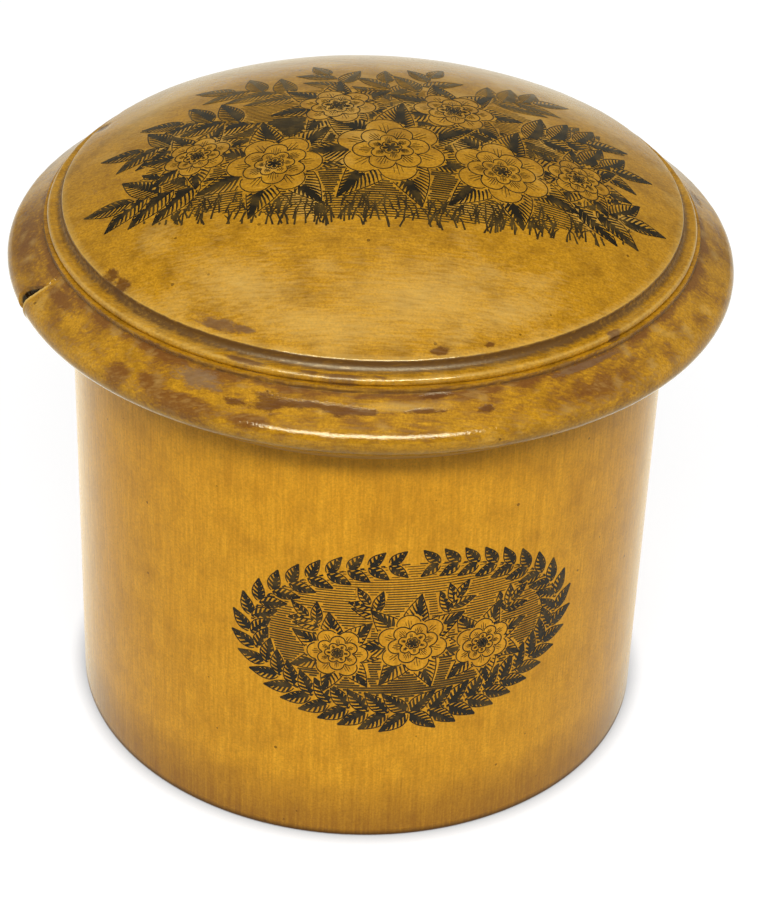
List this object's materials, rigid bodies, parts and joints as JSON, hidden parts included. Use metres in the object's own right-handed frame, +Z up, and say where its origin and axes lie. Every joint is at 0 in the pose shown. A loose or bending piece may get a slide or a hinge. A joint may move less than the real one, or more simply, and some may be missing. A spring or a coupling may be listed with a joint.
{
  "type": "lidded jar",
  "caption": "Small turned wooden jar with straight sides and an overhanging domed lid, which plugs into its mouth and lifts off.",
  "frame": {"origin": "centre of the foot, on the surface that the jar stands on", "axes": "+Z up along the axis of the turning, -Y towards the front of the jar"},
  "size_m": [0.095, 0.095, 0.0866],
  "materials": {
    "jar_wood": "turned sycamore, grain upright, under a clear gloss varnish gone amber",
    "base_wood": "turned sycamore, grain across, thinly varnished and rubbed",
    "lid_wood": "turned sycamore, grain across, under a worn gloss varnish gone amber"
  },
  "bodies": {
    "jar": {"jar_wall": "jar_wood", "jar_base": "base_wood"},
    "lid": {"lid": "lid_wood"}
  },
  "joints": [
    {"name": "lid_lift", "type": "slide", "parent": "jar", "child": "lid", "axis": [0, 0, 1], "range_m": [0, 0.08]}
  ]
}
